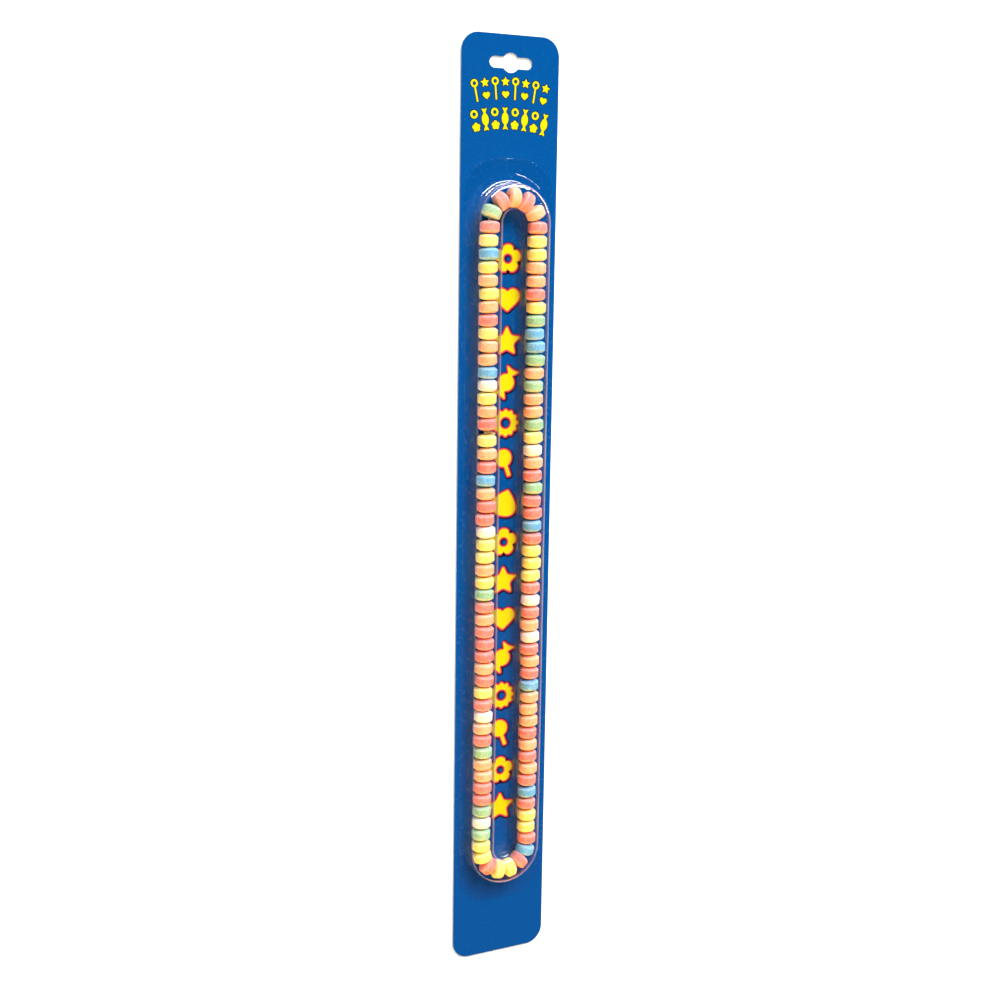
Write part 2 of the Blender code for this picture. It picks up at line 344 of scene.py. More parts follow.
HOLE_Y = CARD_LENGTH / 2 - HOLE_FROM_TOP
TOP_TURN_Y = CARD_LENGTH / 2 - LOOP_FROM_TOP
BOTTOM_TURN_Y = TOP_TURN_Y - LOOP_STRAIGHT
TURN_LENGTH = np.pi * LOOP_RADIUS
LOOP_LENGTH = 2 * LOOP_STRAIGHT + 2 * TURN_LENGTH
print("loop length:", round(LOOP_LENGTH, 4), "m")

# %% [markdown]
# ## The floor
#
# A plain pale table top under the pack. It isn't part of the object.

# %% Floor
FLOOR_HALF, FLOOR_POINTS = 3.0, 9
FLOOR_Z = -0.0004

floor_material, tree, shader = new_material("pale_floor")
grain = noise(tree, place_of(tree), 60.0)
pale = blend(tree, grain, (0.86, 0.86, 0.86, 1.0), (0.90, 0.90, 0.90, 1.0))
set_inputs(tree, shader, {"Base Color": pale, "Roughness": 0.6})
side = np.linspace(-FLOOR_HALF, FLOOR_HALF, FLOOR_POINTS)
floor_x, floor_y = np.meshgrid(side, side)
floor_points = np.stack([floor_x, floor_y, np.full_like(floor_x, FLOOR_Z)], axis=-1)
floor = make_piece("floor", floor_points, grid_quads(FLOOR_POINTS, FLOOR_POINTS), [floor_material])

# %% [markdown]
# ## The card
#
# The card is solid bleached board, printed and varnished on its face and cut by a steel rule. The
# rule presses the face down a little at the edge, so the edge is softly rounded, and the ink is
# rubbed off there. The outline and the hole are carried up through the board as rings of points:
# each ring is the outline, moved inwards by a small amount, at one height. The flat faces between
# the outermost and the hole's rings are filled with triangles.

# %% Outlines of the card and of its hang hole
CORNER_STEPS = 20
EDGE_ROUND = 0.00018
EDGE_STEPS = 4
FACE_MARGIN = 0.0006
PRINTED, EDGE, BACK = 0, 1, 2


def arc(centre, radius, start, end, steps):
    """Points on a circle round a centre, between two angles in degrees."""
    angle = np.radians(np.linspace(start, end, steps + 1))
    return np.column_stack([centre[0] + radius * np.cos(angle), centre[1] + radius * np.sin(angle)])


def card_outline():
    """A rectangle with round corners: four quarter circles, anticlockwise."""
    x, y = CARD_WIDTH / 2 - CARD_CORNER, CARD_LENGTH / 2 - CARD_CORNER
    corners = [(x, y, 0), (-x, y, 90), (-x, -y, 180), (x, -y, 270)]
    arcs = [arc((cx, cy), CARD_CORNER, a, a + 90, CORNER_STEPS) for cx, cy, a in corners]
    return np.concatenate(arcs)


def hole_outline():
    """A slot with round ends whose long sides swell into a circle at the middle, anticlockwise."""
    end = HOLE_HEIGHT / 2
    end_x = HOLE_WIDTH / 2 - end
    notch = HOLE_NOTCH / 2
    meet = np.degrees(np.arcsin(end / notch))
    parts = [
        arc((end_x, HOLE_Y), end, -90, 90, CORNER_STEPS),
        arc((0, HOLE_Y), notch, meet, 180 - meet, CORNER_STEPS),
        arc((-end_x, HOLE_Y), end, 90, 270, CORNER_STEPS),
        arc((0, HOLE_Y), notch, 180 + meet, 360 - meet, CORNER_STEPS),
    ]
    return np.concatenate(parts)


def spread(outline, distance):
    """A closed anticlockwise outline moved outwards, each point across its two neighbours' line."""
    along = np.roll(outline, -1, axis=0) - np.roll(outline, 1, axis=0)
    outwards = np.column_stack([along[:, 1], -along[:, 0]])
    return outline + distance * outwards / np.linalg.norm(outwards, axis=1)[:, None]


def raised(outline, z):
    """The outline's points at a height."""
    return np.column_stack([outline, np.full(len(outline), z)])


def filled(outlines, upwards=True):
    """Triangles that fill the first outline but not the others, numbered through all the points."""
    triangles = np.array(tessellate_polygon([[Vector((*p, 0.0)) for p in o] for o in outlines]))
    corner = np.concatenate(outlines)[triangles]
    first, second = corner[:, 1] - corner[:, 0], corner[:, 2] - corner[:, 0]
    area = first[:, 0] * second[:, 1] - first[:, 1] * second[:, 0]
    wrong = (area < 0) if upwards else (area > 0)
    triangles[wrong] = triangles[wrong][:, ::-1]
    return triangles


# %% Card mesh


def edge_profile():
    """How far inside the outline, and how high, each ring lies, from the back to the front."""
    turn = np.linspace(0, np.pi / 2, EDGE_STEPS + 1)
    inside = EDGE_ROUND * (1 - np.sin(turn))
    lift = EDGE_ROUND * (1 - np.cos(turn))
    back = np.column_stack([inside, lift])
    front = np.column_stack([inside, CARD_THICKNESS - lift])[::-1]
    flat_back = [[EDGE_ROUND + FACE_MARGIN, 0]]
    flat_front = [[EDGE_ROUND + FACE_MARGIN, CARD_THICKNESS]]
    return np.vstack([flat_back, back, front, flat_front])


def card_piece(materials):
    """Rings round the outline and round the hole, and the two faces filled between them."""
    profile = edge_profile()
    outlines = [(card_outline(), -1.0), (hole_outline(), 1.0)]
    points, faces, zones, face_rings, start = [], [], [], [], 0
    for outline, inwards in outlines:
        rings = [raised(spread(outline, inwards * inside), z) for inside, z in profile]
        quads = grid_quads(len(rings), len(outline), close_columns=True) + start
        zone = [BACK, BACK, *[EDGE] * (2 * EDGE_STEPS - 1), PRINTED, PRINTED]
        faces += (quads if inwards < 0 else quads[:, ::-1]).tolist()
        zones.append(np.repeat(zone, len(outline)))
        points += rings
        last = start + len(outline) * (len(rings) - 1)
        face_rings.append((rings[0][:, :2], rings[-1][:, :2], start, last))
        start += len(outline) * len(rings)
    for which, upwards, zone in ((0, False, BACK), (1, True, PRINTED)):
        fill = filled([ring[which] for ring in face_rings], upwards)
        numbers = [ring[2 + which] + np.arange(len(ring[which])) for ring in face_rings]
        faces += np.concatenate(numbers)[fill].tolist()
        zones.append(np.full(len(fill), zone))
    zones = np.concatenate(zones)
    return make_piece("hang_card", np.concatenate(points), faces, materials, zones, sharp=60.0)


# %% [markdown]
# The ink is a strong blue under a gloss varnish. Three things break its flatness: the board's
# fibres show as a faint mottle in the colour, the varnish is a little uneven in gloss, and its
# surface has the slow unevenness of pressed board. The cut edge shows the bare board with its
# layers, and the back is uncoated.

# %% Card materials


def printed_face():
    """Blue ink on board: a fine mottle in the colour, uneven gloss and a shallow unevenness."""
    material, tree, shader = new_material("printed_card")
    where = place_of(tree)
    mottle = remap(tree, noise(tree, where, 900.0, 4.0), 0.35, 0.65)
    cloud = remap(tree, noise(tree, where, 14.0, 2.0), 0.3, 0.7)
    ink = blend(tree, mottle, linear(0, 83, 157), linear(0, 89, 165))
    ink = blend(tree, times(tree, cloud, 0.35), ink, linear(0, 80, 154))
    gloss = remap(tree, noise(tree, where, 220.0, 4.0), 0.3, 0.7, 0.20, 0.30)
    slow = bumped(tree, noise(tree, where, 120.0, 3.0), 0.00004)
    set_inputs(tree, shader, {"Base Color": ink, "Roughness": gloss, "Normal": slow})
    return material


def cut_edge():
    """Bare board seen from the side: thin layers, pale with grey fibres."""
    material, tree, shader = new_material("card_edge")
    where = place_of(tree)
    flat = stretched(tree, where, 1.0, 1.0, 14.0)
    layers = remap(tree, noise(tree, flat, 700.0, 3.0), 0.35, 0.65)
    board = blend(tree, layers, linear(176, 190, 212), linear(236, 238, 240))
    steps = bumped(tree, layers, 0.00005)
    set_inputs(tree, shader, {"Base Color": board, "Roughness": 0.85, "Normal": steps})
    return material


def bare_back():
    """Uncoated board: off-white with short grey and brown fibres."""
    material, tree, shader = new_material("card_back")
    where = place_of(tree)
    fibres = noise(tree, stretched(tree, where, 1.0, 0.25, 1.0), 1500.0, 5.0, 0.7)
    fibre = remap(tree, fibres, 0.56, 0.72)
    cloud = remap(tree, noise(tree, where, 60.0), 0.3, 0.7)
    board = blend(tree, cloud, linear(224, 221, 212), linear(234, 231, 224))
    board = blend(tree, times(tree, fibre, 0.5), board, linear(178, 168, 150))
    rough = bumped(tree, fibres, 0.00006)
    set_inputs(tree, shader, {"Base Color": board, "Roughness": 0.88, "Normal": rough})
    return material


hang_card = card_piece([printed_face(), cut_edge(), bare_back()])
settle(hang_card, "printed_card", "backing_card")

# %% [markdown]
# ## The print
#
# The card is printed in yellow with a pink outline and a thin dark line round it, large inside
# the loop and small and thin in two arched rows under the hang hole. Here the places hold
# sweet-shop shapes: flowers, hearts, stars, lollipops, wrapped sweets and rings. Screen ink lies
# on the board as a film with a crisp edge, so each shape is a very thin plate. Its outline is
# moved outwards for the pink band and again for the dark one, which gives rings of points in one
# plane, and a last ring goes down to the board. The dark band is printed a little off, heavier at
# the lower right.

# %% Shapes of the motifs, one unit wide
OUTLINE_STEPS, WRAP_STEPS, HEAD_STEPS, DROP_STEPS = 120, 12, 60, 90


def polar(radius):
    """A closed outline whose distance from the middle is a function of the angle."""
    angle = np.linspace(0, 2 * np.pi, OUTLINE_STEPS, endpoint=False)
    reach = radius(angle)
    return np.column_stack([reach * np.cos(angle), reach * np.sin(angle)])


def softened(corners, reach=5):
    """A polygon as evenly spaced points, its corners rounded by a mean over some neighbours."""
    corners = np.asarray(corners, dtype=float)
    closed = np.vstack([corners, corners[:1]])
    length = np.concatenate([[0], np.cumsum(np.linalg.norm(np.diff(closed, axis=0), axis=1))])
    at = np.linspace(0, length[-1], OUTLINE_STEPS, endpoint=False)
    points = np.column_stack([np.interp(at, length, closed[:, k]) for k in (0, 1)])
    shifts = range(-reach, reach + 1)
    weight = 1 + np.cos(np.pi * np.array(shifts) / (reach + 1))
    return sum(w * np.roll(points, s, axis=0) for s, w in zip(shifts, weight)) / weight.sum()


def flower():
    """Five round petals: the reach swells with the root of a cosine of two and a half angles."""
    return polar(lambda a: 0.33 + 0.17 * np.sqrt(np.abs(np.cos(2.5 * (a - np.pi / 2)))))


def heart():
    """A heart: x is a cubed sine, y four cosines. Its shallow notch leaves room for the bands."""
    t = -np.linspace(0, 2 * np.pi, OUTLINE_STEPS, endpoint=False)
    x = 16 * np.sin(t) ** 3
    y = 13 * np.cos(t) - 4 * np.cos(2 * t) - 2 * np.cos(3 * t) - np.cos(4 * t)
    return softened(np.column_stack([x, y + 2.0]) / 33, reach=9)


def star():
    """Ten corners, alternately far and near, slightly rounded."""
    angle = np.pi / 2 + np.arange(10) * np.pi / 5
    reach = np.where(np.arange(10) % 2 == 0, 0.56, 0.27)
    return softened(np.column_stack([reach * np.cos(angle), reach * np.sin(angle)]), reach=4)


def sweet():
    """A wrapped sweet: a round middle and a fan of wrapper at each end."""
    top = np.radians(np.linspace(25, 155, WRAP_STEPS))
    upper = 0.29 * np.column_stack([np.cos(top), np.sin(top)])
    left_fan = [(-0.29, 0.07), (-0.53, 0.24), (-0.48, 0.0), (-0.53, -0.24), (-0.29, -0.07)]
    half = np.vstack([upper, left_fan])
    return softened(np.vstack([half, -half]), reach=2)


def disc():
    """A circle."""
    return polar(lambda a: 0.5 + 0 * a)


def rosette():
    """A twelve-fold wave round a circle."""
    return polar(lambda a: 0.46 + 0.035 * np.cos(12 * a))


def round_on_stick(radius, half_stick):
    """A round head, as high as it can be in one unit, on a straight stick down to the lower end."""
    open_angle = np.degrees(np.arcsin(half_stick / radius))
    head = arc((0, 0.5 - radius), radius, open_angle - 90, 270 - open_angle, HEAD_STEPS)
    return softened(np.vstack([head, [(-half_stick, -0.5), (half_stick, -0.5)]]), reach=1)


def lollipop():
    """A large head on a short stick."""
    return round_on_stick(0.31, 0.06)


def small_lollipop():
    """A small head on a long stick."""
    return round_on_stick(0.18, 0.043)


def drop():
    """A drop, round below: x is a sine times the sine of half the angle, and y a cosine."""
    t = np.linspace(0, 2 * np.pi, DROP_STEPS, endpoint=False)
    return softened(np.column_stack([-0.56 * np.sin(t) * np.sin(t / 2), 0.5 * np.cos(t)]), reach=2)


DRAWN = (flower, heart, star, sweet, disc, rosette, lollipop, small_lollipop, drop)
SHAPES = {f.__name__: f() for f in DRAWN}
for shape_name, outline in SHAPES.items():
    size = np.ptp(outline, axis=0)
    print(f"{shape_name}: {size[0]:.2f} x {size[1]:.2f}")

# %% From outlines to a film of ink
YELLOW, PINK, DARK = 0, 1, 2
INK_TOP = CARD_THICKNESS + 0.00003
INK_FOOT = CARD_THICKNESS - 0.00001


def ink_film(outer, holes, bands, shift=(0.0, 0.0)):
    """One motif: its fill, a ring of quads for each band outside it and in its holes, its sides.

    bands is a list of (width, ink). The fill is yellow. The last band's far edge is moved by the
    shift. Points, faces and each face's ink are returned.
    """
    points, faces, inks, tops, feet, start = [], [], [], [], [], 0
    for outline, outwards in [(outer, 1.0)] + [(hole, -1.0) for hole in holes]:
        reach = np.cumsum([0.0] + [width for width, _ in bands])
        rings = [raised(spread(outline, outwards * r), INK_TOP) for r in reach[:-1]]
        rim = spread(outline, outwards * reach[-1]) + shift
        rings += [raised(rim, z) for z in (INK_TOP, INK_FOOT)]
        count = len(outline)
        quads = grid_quads(len(rings), count, close_columns=True)[:, ::-1] + start
        faces += (quads if outwards > 0 else quads[:, ::-1]).tolist()
        inks += [ink for _, ink in bands for _ in range(count)] + [bands[-1][1]] * count
        tops.append((outline, start + np.arange(count)))
        feet.append((rings[-1][:, :2], start + count * (len(rings) - 1) + np.arange(count)))
        points += rings
        start += count * len(rings)
    for rings, upwards, ink in ((tops, True, YELLOW), (feet, False, bands[-1][1])):
        fill = filled([ring for ring, _ in rings], upwards)
        faces += np.concatenate([numbers for _, numbers in rings])[fill].tolist()
        inks += [ink] * len(fill)
    return np.concatenate(points), faces, inks


def gathered(parts):
    """Several (points, faces, inks) as one, with the faces renumbered."""
    points, faces, inks, start = [], [], [], 0
    for part_points, part_faces, part_inks in parts:
        points.append(part_points)
        faces += [[start + k for k in face] for face in part_faces]
        inks += part_inks
        start += len(part_points)
    return np.concatenate(points), faces, inks


def placed(outline, x, y, width, height, turn=0.0):
    """A one-unit outline stretched to a size, turned and moved to its place on the card."""
    points = outline * (width, height)
    cos, sin = np.cos(turn), np.sin(turn)
    return points @ np.array([[cos, sin], [-sin, cos]]) + (x, y)


# %% Ink materials


def ink_material(name, colour, deeper):
    """A gloss ink film: slightly uneven cover and a soft sheen."""
    material, tree, shader = new_material(name)
    where = place_of(tree)
    cover = remap(tree, noise(tree, where, 1100.0, 4.0), 0.35, 0.7)
    base = blend(tree, cover, deeper, colour)
    dullness = remap(tree, noise(tree, where, 300.0), 0.3, 0.7, 0.34, 0.5)
    set_inputs(tree, shader, {"Base Color": base, "Roughness": dullness})
    set_inputs(tree, shader, {"Coat Weight": 0.3, "Coat Roughness": 0.18})
    return material


INKS = [
    ink_material("ink_yellow", linear(255, 238, 0), linear(250, 222, 0)),
    ink_material("ink_pink", linear(240, 66, 96), linear(226, 50, 84)),
    ink_material("ink_dark", linear(22, 14, 40), linear(14, 10, 30)),
]


def printed(name, motifs):
    """One piece of ink films on the card."""
    points, faces, inks = gathered(motifs)
    return settle(make_piece(name, points, faces, INKS, inks), "printed_card")


# %% The column of motifs inside the loop
COLUMN_TOP, COLUMN_BOTTOM = 0.184, -0.219
COLUMN_MOTIFS = (
    "flower heart star sweet rosette lollipop drop flower "
    "star heart sweet rosette lollipop flower star"
).split()
MOTIF_SIZES = {
    "flower": (0.0195, 0.0195),
    "lollipop": (0.0200, 0.0200),
    "heart": (0.0200, 0.0200),
    "star": (0.0200, 0.0195),
    "sweet": (0.0205, 0.0215),
    "rosette": (0.0195, 0.0195),
    "drop": (0.0230, 0.0190),
}
MOTIF_EYES = {"flower": 0.0016, "rosette": 0.0024}
EYE_STEPS = 48
PINK_BAND, DARK_BAND = 0.0012, 0.0009
DARK_SHIFT = (0.00035, -0.00035)
MOTIF_TURNS = {"sweet": 1.05, "lollipop": 0.35, "drop": -0.3}


def column_motif(kind, y):
    """One large motif, with a round eye in the kinds that have one."""
    width, height = MOTIF_SIZES[kind]
    outer = placed(SHAPES[kind], 0.0, y, width, height, MOTIF_TURNS.get(kind, 0.0))
    holes = []
    if kind in MOTIF_EYES:
        hole_radius = MOTIF_EYES[kind] + PINK_BAND + DARK_BAND
        holes = [arc((0.0, y), hole_radius, 0, 360, EYE_STEPS)[:-1]]
    return ink_film(outer, holes, [(PINK_BAND, PINK), (DARK_BAND, DARK)], DARK_SHIFT)


column_heights = np.linspace(COLUMN_TOP, COLUMN_BOTTOM, len(COLUMN_MOTIFS))
column_parts = [column_motif(kind, y) for kind, y in zip(COLUMN_MOTIFS, column_heights)]
card_print_column = printed("card_print_column", column_parts)

# %% The two arched rows under the hang hole
HEADER_LINE = 0.0005
HEADER_HALF_WIDTH = 0.0262
ARCH = 4.2
HEADER_COLUMNS = 8
HEADER_STACKS = {
    "lollipop": [("small_lollipop", 0.0, 0.0150, 0.0150, 0.0)],
    "star and heart": [
        ("star", 0.0043, 0.0062, 0.0062, 0.0),
        ("heart", -0.0044, 0.0058, 0.0062, 0.0),
    ],
    "sweet": [("sweet", 0.0, 0.0142, 0.0090, np.pi / 2)],
    "ring and flower": [
        ("disc", 0.0044, 0.0056, 0.0056, 0.0),
        ("flower", -0.0042, 0.0062, 0.0062, 0.0),
    ],
}
HEADER_HOLES = {"small_lollipop": (0.0048, 0.0013), "disc": (0.0, 0.0013)}
HEADER_HOLE_STEPS = 24
HEADER_ROWS = [(0.2985, ("lollipop", "star and heart")), (0.2785, ("ring and flower", "sweet"))]


def header_stack(name, x, y, slope):
    """One column of small motifs: each is shifted up or down its slope and turned with it."""
    up = np.array([-np.sin(slope), np.cos(slope)])
    parts = []
    for kind, above, width, height, turn in HEADER_STACKS[name]:
        place = np.array([x, y]) + above * up
        outer = placed(SHAPES[kind], *place, width, height, slope + turn)
        holes = []
        if kind in HEADER_HOLES:
            hole_above, hole_radius = HEADER_HOLES[kind]
            hole_place = place + hole_above * up
            holes = [arc(hole_place, hole_radius, 0, 360, HEADER_HOLE_STEPS)[:-1]]
        parts.append(ink_film(outer, holes, [(HEADER_LINE, DARK)]))
    return parts


def header_row(row_y, names):
    """Columns of small motifs along a parabola, two kinds by turns."""
    parts = []
    places = np.linspace(-HEADER_HALF_WIDTH, HEADER_HALF_WIDTH, HEADER_COLUMNS)
    for number, x in enumerate(places):
        name = names[number % len(names)]
        parts += header_stack(name, x, row_y - ARCH * x**2, -2 * ARCH * x)
    return parts


header_parts = [part for row_y, names in HEADER_ROWS for part in header_row(row_y, names)]
card_print_header = printed("card_print_header", header_parts)

# %% [markdown]
# ## The strand
#
# Beads and thread follow one line: down the left column, round the bottom turn, up the right
# column and over the top. A place on it is a distance along it. The beads sit loosely in their
# channel, so each has a small shift to the side and a small tilt, and the thread passes through
# the shifted beads.

# %% The strand's line


def strand(distance):
    """Points and headings at distances along the line: two straight lines and two half circles."""
    d = np.mod(np.asarray(distance, dtype=float), LOOP_LENGTH)
    after_left = LOOP_STRAIGHT
    after_bottom = after_left + TURN_LENGTH
    after_right = after_bottom + LOOP_STRAIGHT
    bottom = np.pi + (d - after_left) / LOOP_RADIUS
    top = (d - after_right) / LOOP_RADIUS
    stretch = [d < after_left, d < after_bottom, d < after_right]
    x_choices = [-LOOP_RADIUS, LOOP_RADIUS * np.cos(bottom), LOOP_RADIUS]
    x = np.select(stretch, x_choices, LOOP_RADIUS * np.cos(top))
    y_bottom = BOTTOM_TURN_Y + LOOP_RADIUS * np.sin(bottom)
    y_choices = [TOP_TURN_Y - d, y_bottom, BOTTOM_TURN_Y + d - after_bottom]
    y = np.select(stretch, y_choices, TOP_TURN_Y + LOOP_RADIUS * np.sin(top))
    heading = np.select(stretch, [-np.pi / 2, bottom + np.pi / 2, np.pi / 2], top + np.pi / 2)
    return np.stack([x, y], axis=-1), heading


def bead_places():
    """Distances of the bead centres, in strung order from one side of the knot to the other.

    The beads below the knot have slid up towards it, each less than the one above it.
    """
    left_top, left_bottom = COLUMN_START, LOOP_STRAIGHT + COLUMN_END
    right_bottom = LOOP_STRAIGHT + TURN_LENGTH - COLUMN_END
    right_top = 2 * LOOP_STRAIGHT + TURN_LENGTH - COLUMN_START
    pitch = (left_bottom - left_top - KNOT_GAP) / (COLUMN_BEADS - 1)
    above = left_top + pitch * np.arange(BEADS_ABOVE_KNOT)
    below = left_bottom - pitch * np.arange(COLUMN_BEADS - BEADS_ABOVE_KNOT)[::-1]
    below = below - CLOSED_BY * np.exp(-np.arange(len(below)) / CLOSED_OVER)
    bottom = np.linspace(left_bottom, right_bottom, BOTTOM_TURN_BEADS + 2)[1:-1]
    right = np.linspace(right_bottom, right_top, COLUMN_BEADS)
    top = np.linspace(right_top, LOOP_LENGTH + left_top, TOP_TURN_BEADS + 2)[1:-1]
    return np.concatenate([below, bottom, right, top, LOOP_LENGTH + above])


# %% Beads in order, with their colours and their small shifts
SEED = 7
LEFT_BELOW_KNOT = "YOPBOPPWYYOYGPOPPPOPYPWOPGOOPPGWGYY"
BOTTOM_TURN = "PYYP"
RIGHT_DOWNWARDS = "PYYOOPYGBBGOGOOGYWOPGPPBPYYYPWPOWPOPBOOOPOPOPBPYYPB"
TOP_TURN = "OPOPG"
LEFT_ABOVE_KNOT = "PYBYOYOPYOOBWYOP"
RIGHT_UPWARDS = RIGHT_DOWNWARDS[::-1]
BEAD_ORDER = LEFT_BELOW_KNOT + BOTTOM_TURN + RIGHT_UPWARDS + TOP_TURN + LEFT_ABOVE_KNOT

SIDE_SHIFT, SHARE_IN_TURN, RISE_SHIFT = 0.00060, 0.4, 0.00012
TILT, SIZE_SPREAD, THIN_SPREAD = 0.058, 0.012, 0.03
# Between these heights the beads of the upper turn are painted paler: a painted reflection of the
# film's crown over them.
PALE_TOP_FROM_Y, PALE_TOP_TO_Y, TOP_PAINTED_REFLECTION = 0.185, 0.215, 0.35
PLACES = bead_places()
BEADS = len(PLACES)
draw = np.random.default_rng(SEED)
loop_middle_y = (TOP_TURN_Y + BOTTOM_TURN_Y) / 2
in_turn = np.abs(strand(PLACES)[0][:, 1] - loop_middle_y) > LOOP_STRAIGHT / 2
side_shift = draw.uniform(-SIDE_SHIFT, SIDE_SHIFT, BEADS) * np.where(in_turn, SHARE_IN_TURN, 1.0)
rise_shift = draw.uniform(-RISE_SHIFT, RISE_SHIFT, BEADS)
plan_tilt, rise_tilt = draw.uniform(-TILT, TILT, (2, BEADS))
spin = draw.uniform(0, 2 * np.pi, BEADS)
bead_radius = BEAD_DIAMETER / 2 * (1 + draw.uniform(-SIZE_SPREAD, SIZE_SPREAD, BEADS))
bead_half = BEAD_THICKNESS / 2 * (1 - draw.uniform(0, THIN_SPREAD, BEADS))
bead_shade = draw.uniform(0, 1, BEADS)
print("beads:", BEADS, {colour: BEAD_ORDER.count(colour) for colour in "POYGBW"})

# %% [markdown]
# ## The beads
#
# Each bead is sugar powder pressed between two hollow punches in a round die: a straight wall
# where the die was, two crowned faces from the punches, and a bore for the thread. The edges
# between wall and face are brittle and get rubbed and chipped in the drum. One profile, from the
# middle of the bore over a face and down the wall and back, is carried once round the axis. That
# closes the surface both ways, so it needs no poles. All beads are one array: bead, angle,
# profile, coordinate.

# %% Bead profile and shape
AROUND = 24
HALF_PROFILE_MM = [
    (0.00, 1.55),
    (3.45, 1.55),
    (4.02, 1.72),
    (4.38, 2.15),
    (4.34, 3.20),
    (4.14, 4.50),
    (3.94, 5.00),
    (3.62, 5.52),
    (2.90, 6.46),
    (2.64, 6.72),
    (2.34, 6.84),
    (1.30, 6.87),
    (0.00, 6.88),
]
EDGE_AT, EDGE_SPREAD = 8.5, 1.3
NOMINAL_HALF, NOMINAL_RADIUS, BORE_REACH = 0.0045, 0.00688, 0.003
WAVES = ((0.0035, 2), (0.002, 5), (0.0015, 9))
CHIPS_A_BEAD, CHIP_LEAST, CHIP_WIDTH, CHIP_DEPTH, CHIP_SHORTENS = 4, 0.1, 0.22, 0.00030, 0.05
# The edges are painted pale: partly real rubbing and chips, partly a painted highlight on the
# bevels.
EDGE_WEAR_AND_SHEEN, CHIP_WEAR = 0.85, 0.9
GRAIN_DRAW, GRAIN_STEP = 0.5, 0.05


def full_profile():
    """Height along the axis and reach from it, once round: one half, then the other mirrored."""
    half = np.array(HALF_PROFILE_MM) / 1000
    other = half[-2:0:-1] * (-1, 1)
    return np.vstack([half, other])


def chip_pattern(angle, profile_edge):
    """How deep the edge is worn: bells round the angles of some chips, each on one of two edges."""
    at = draw.uniform(0, 2 * np.pi, (BEADS, CHIPS_A_BEAD, 1))
    depth = draw.uniform(CHIP_LEAST, 1.0, (BEADS, CHIPS_A_BEAD, 1)) ** 2
    upper = draw.integers(0, 2, (BEADS, CHIPS_A_BEAD, 1))
    away = np.abs(np.mod(angle - at + np.pi, 2 * np.pi) - np.pi)
    bell = depth * np.exp(-((away / CHIP_WIDTH) ** 2))
    by_edge = np.stack([(bell * (upper == k)).max(axis=1) for k in (1, 0)], axis=-1)
    return by_edge @ profile_edge


def bead_surfaces():
    """Points of all beads and, for each, its share of pale colour and its place in the bead's
    grain.

    A point is the bead's centre, plus its height along the bead's axis, plus its reach times the
    cosine and sine of its angle along the two directions across. The reach is changed a little by
    waves round the bead and by chips near the edges. The place in the grain is the same without
    the centre, with the height made small, so that a pattern on it is drawn out along the axis,
    and with a step from bead to bead.
    """
    profile = full_profile()
    number = np.arange(len(profile))
    edges = (EDGE_AT, len(profile) - EDGE_AT)
    near_edge = np.stack([np.exp(-(((number - edge) / EDGE_SPREAD) ** 2)) for edge in edges])
    angle = np.linspace(0, 2 * np.pi, AROUND, endpoint=False)
    chip = chip_pattern(angle, near_edge)

    along = profile[:, 0] * (bead_half[:, None, None] / NOMINAL_HALF)
    wide = profile[:, 1] > BORE_REACH
    phase = draw.uniform(0, 2 * np.pi, (len(WAVES), BEADS, 1, 1))
    turn = angle[None, :, None]
    waves = sum(size * np.sin(count * turn + at) for (size, count), at in zip(WAVES, phase))
    swell = bead_radius[:, None, None] / NOMINAL_RADIUS * (1 + waves)
    reach = profile[:, 1] * np.where(wide, swell, 1.0) - CHIP_DEPTH * chip
    along = along * (1 - CHIP_SHORTENS * chip)

    plan, heading = strand(PLACES)
    sideways = np.column_stack([-np.sin(heading), np.cos(heading)])
    centre = np.column_stack([plan + side_shift[:, None] * sideways, BEAD_HEIGHT + rise_shift])
    ahead = heading + plan_tilt
    flat = np.column_stack([np.cos(ahead), np.sin(ahead), np.zeros(BEADS)])
    up = np.array([0.0, 0.0, 1.0])
    axis = np.cos(rise_tilt)[:, None] * flat + np.sin(rise_tilt)[:, None] * up
    across = np.cross(up, axis)
    across /= np.linalg.norm(across, axis=1)[:, None]
    third = np.cross(axis, across)

    centre, axis, across, third = (each[:, None, None] for each in (centre, axis, across, third))
    direction = turn + spin[:, None, None]
    out = np.cos(direction)[..., None] * across + np.sin(direction)[..., None] * third
    points = centre + along[..., None] * axis + reach[..., None] * out
    # The edges are painted pale: partly real rubbing, partly a painted highlight on the bevels.
    edge_rub_and_sheen = np.broadcast_to(near_edge.sum(axis=0), chip.shape)
    # The beads of the upper turn are painted paler: a painted reflection of the film's crown over
    # them.
    top_painted_reflection = TOP_PAINTED_REFLECTION * np.clip((plan[:, 1] - PALE_TOP_FROM_Y) / (PALE_TOP_TO_Y - PALE_TOP_FROM_Y), 0, 1)
    wear_and_painted_light = np.clip(EDGE_WEAR_AND_SHEEN * edge_rub_and_sheen + CHIP_WEAR * chip + top_painted_reflection[:, None, None], 0, 1)
    in_bead = (reach * np.cos(turn), reach * np.sin(turn), GRAIN_DRAW * along)
    grain = np.stack(np.broadcast_arrays(*in_bead), axis=-1)
    grain = grain + GRAIN_STEP * np.arange(BEADS)[:, None, None, None]
    return points, wear_and_painted_light, grain


bead_points, bead_wear_and_painted_light, bead_grain = bead_surfaces()
print("bead array:", bead_points.shape)

# %% [markdown]
# Pressed sugar scatters light inside, so the shader has a good share of subsurface, red going
# deepest. The colour is not even: the dyed powder is mixed from lighter and darker grains, which
# gives a soft mottle about a millimetre wide and fine pale specks. The die draws fine pale
# streaks along the wall when it lets the bead go, and the rubbed edges are dusty. The same pale
# colour also paints a highlight on the bevels and a reflection on the beads of the upper turn.
# The surface is matte with a fine grain.

# %% Candy material


def scattering(weight, radius, scale):
    """The shader's inputs for light that goes in: its share, and how deep each colour goes."""
    return {"Subsurface Weight": weight, "Subsurface Radius": radius, "Subsurface Scale": scale}


